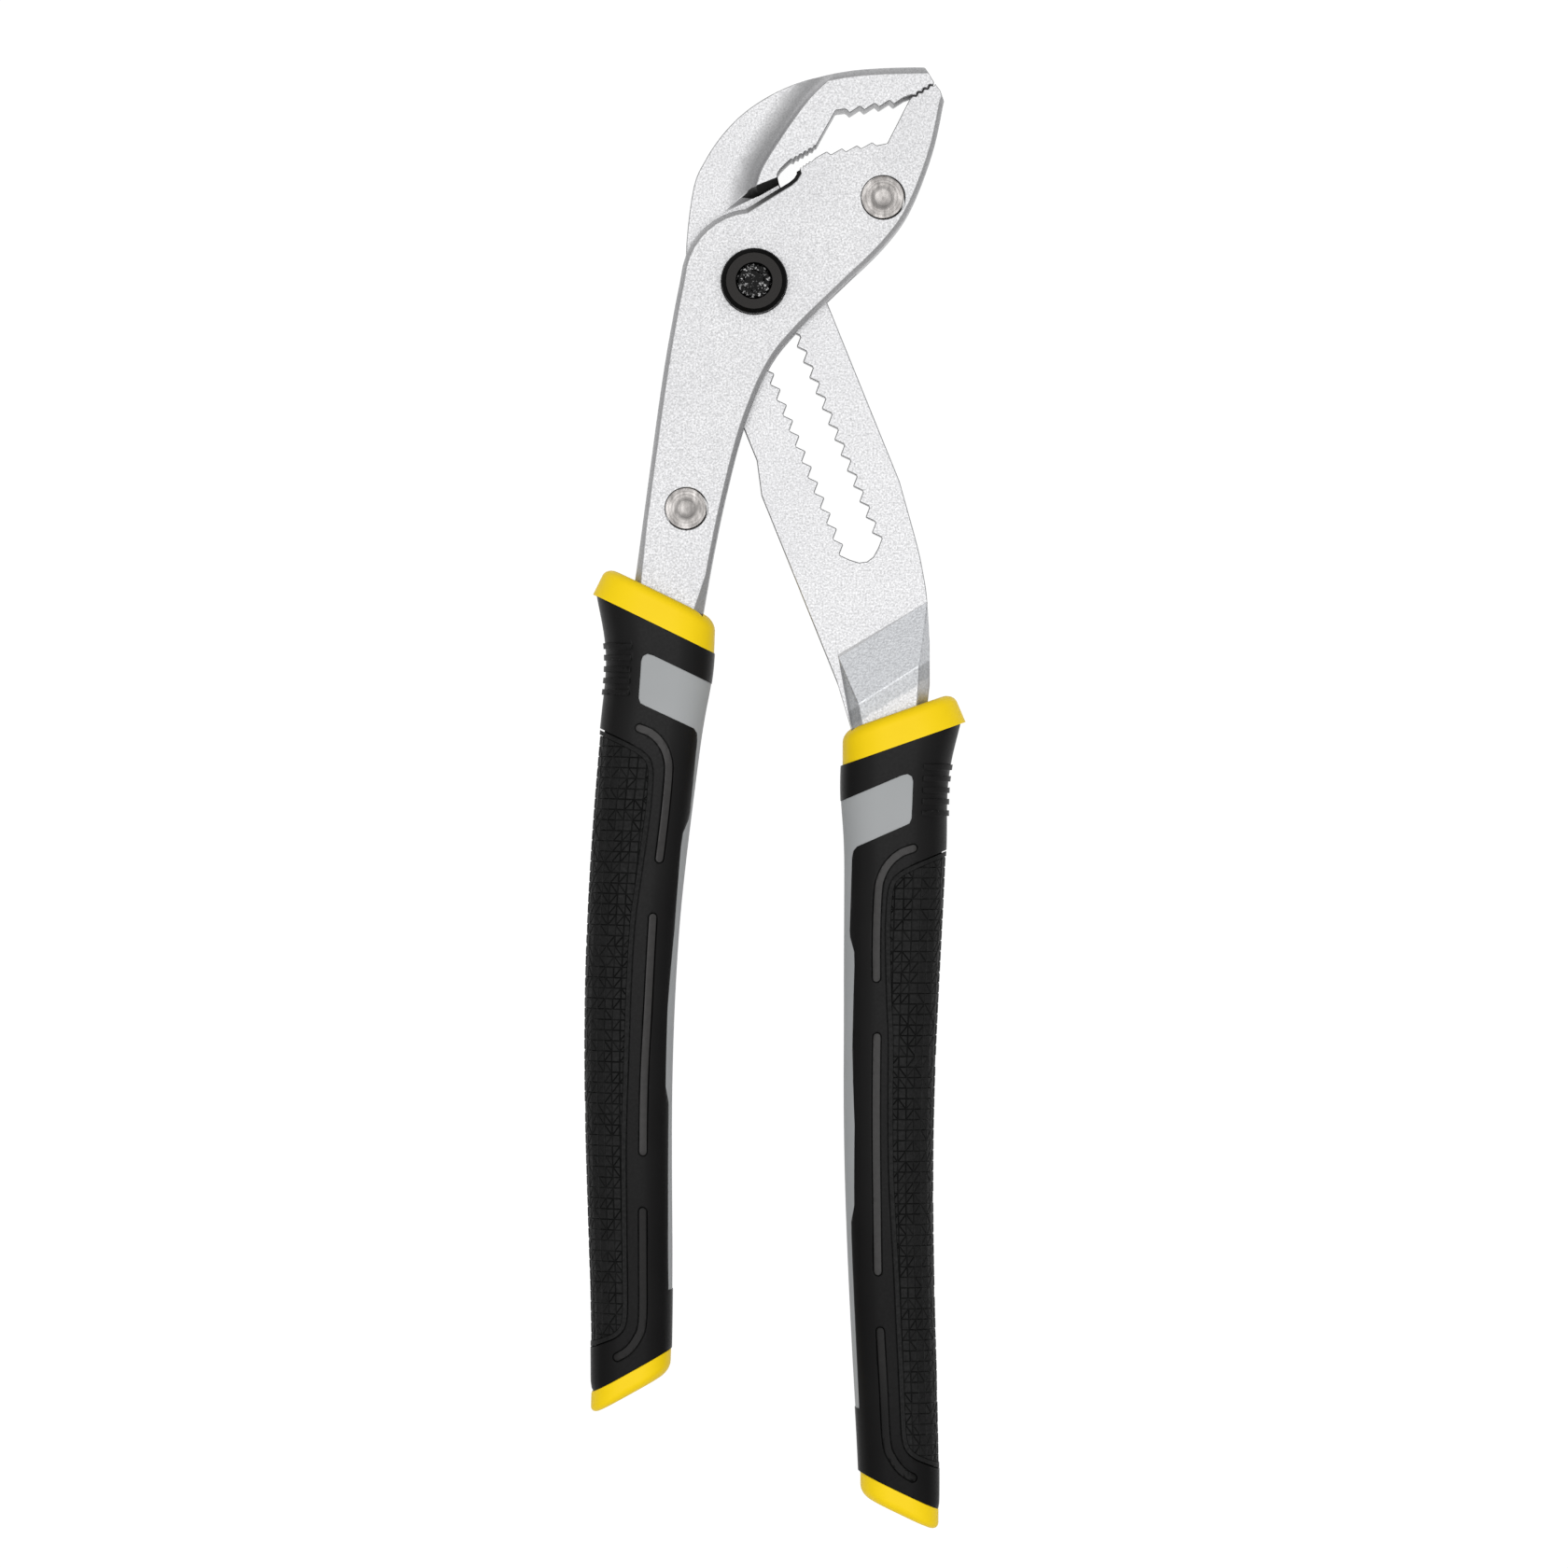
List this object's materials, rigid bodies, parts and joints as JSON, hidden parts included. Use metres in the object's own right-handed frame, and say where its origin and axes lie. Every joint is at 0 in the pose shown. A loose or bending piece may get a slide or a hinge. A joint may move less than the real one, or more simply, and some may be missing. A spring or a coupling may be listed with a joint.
{
  "type": "water pump pliers",
  "caption": "Adjustable water pump pliers with box-joint cheeks, a toothed slot and push-button pivot, serrated jaws and two-colour rubber grips.",
  "frame": {"origin": "on the pivot axis, in the plane of the rear cheek's back face and the toothed pin's flush rear head", "axes": "+X across the handles from the outer half's grip to the inner half's grip, +Y along the tool towards the jaws, +Z out of the front face that carries the release button"},
  "size_m": [0.0786, 0.2996, 0.0201],
  "materials": {
    "forged_steel": "satin, fine blasted grain",
    "rivet_steel": "turned and pressed, slightly domed",
    "blackened_steel": "black oxide, satin",
    "spring_steel": "plain drawn wire and stamped washer",
    "yellow_rubber": "smooth satin moulding",
    "black_sleeve": "smooth satin moulding",
    "pad_rubber": "matte with a fine angular grain",
    "grey_plastic": "smooth matte",
    "inlay_plastic": "slightly glossy"
  },
  "bodies": {
    "outer_half": {"front_cheek": "forged_steel", "rear_cheek": "forged_steel", "jaw_rivet": "rivet_steel", "shank_rivet": "rivet_steel", "left_collar": "yellow_rubber", "left_grip_sleeve": "black_sleeve", "left_palm_pad": "pad_rubber", "left_grey_insert": "grey_plastic", "left_end_cap": "yellow_rubber", "left_inlay_upper_front": "inlay_plastic", "left_inlay_upper_rear": "inlay_plastic", "left_inlay_middle_front": "inlay_plastic", "left_inlay_middle_rear": "inlay_plastic", "left_inlay_lower_front": "inlay_plastic", "left_inlay_lower_rear": "inlay_plastic"},
    "pivot_carrier": {"spring_seat_washer": "spring_steel", "button_spring": "spring_steel"},
    "push_pin": {"toothed_pin": "blackened_steel", "release_button": "blackened_steel", "button_screw": "blackened_steel"},
    "inner_half": {"jaw_arm": "forged_steel", "right_collar": "yellow_rubber", "right_grip_sleeve": "black_sleeve", "right_palm_pad": "pad_rubber", "right_grey_insert": "grey_plastic", "right_end_cap": "yellow_rubber", "right_inlay_upper_front": "inlay_plastic", "right_inlay_upper_rear": "inlay_plastic", "right_inlay_middle_front": "inlay_plastic", "right_inlay_middle_rear": "inlay_plastic", "right_inlay_lower_front": "inlay_plastic", "right_inlay_lower_rear": "inlay_plastic"}
  },
  "joints": [
    {"name": "handle_pivot", "type": "hinge", "parent": "outer_half", "child": "pivot_carrier", "pos_m": [0, 0, 0], "axis": [0, 0, 1], "range_deg": [0, 36]},
    {"name": "jaw_adjust", "type": "slide", "parent": "pivot_carrier", "child": "inner_half", "axis": [-0.3746, 0.9272, 0], "range_m": [0, 0.04116]},
    {"name": "button_press", "type": "slide", "parent": "pivot_carrier", "child": "push_pin", "axis": [0, 0, -1], "range_m": [0, 0.0028], "stiffness_N_per_m": 1500, "deforming": ["button_spring"]}
  ]
}
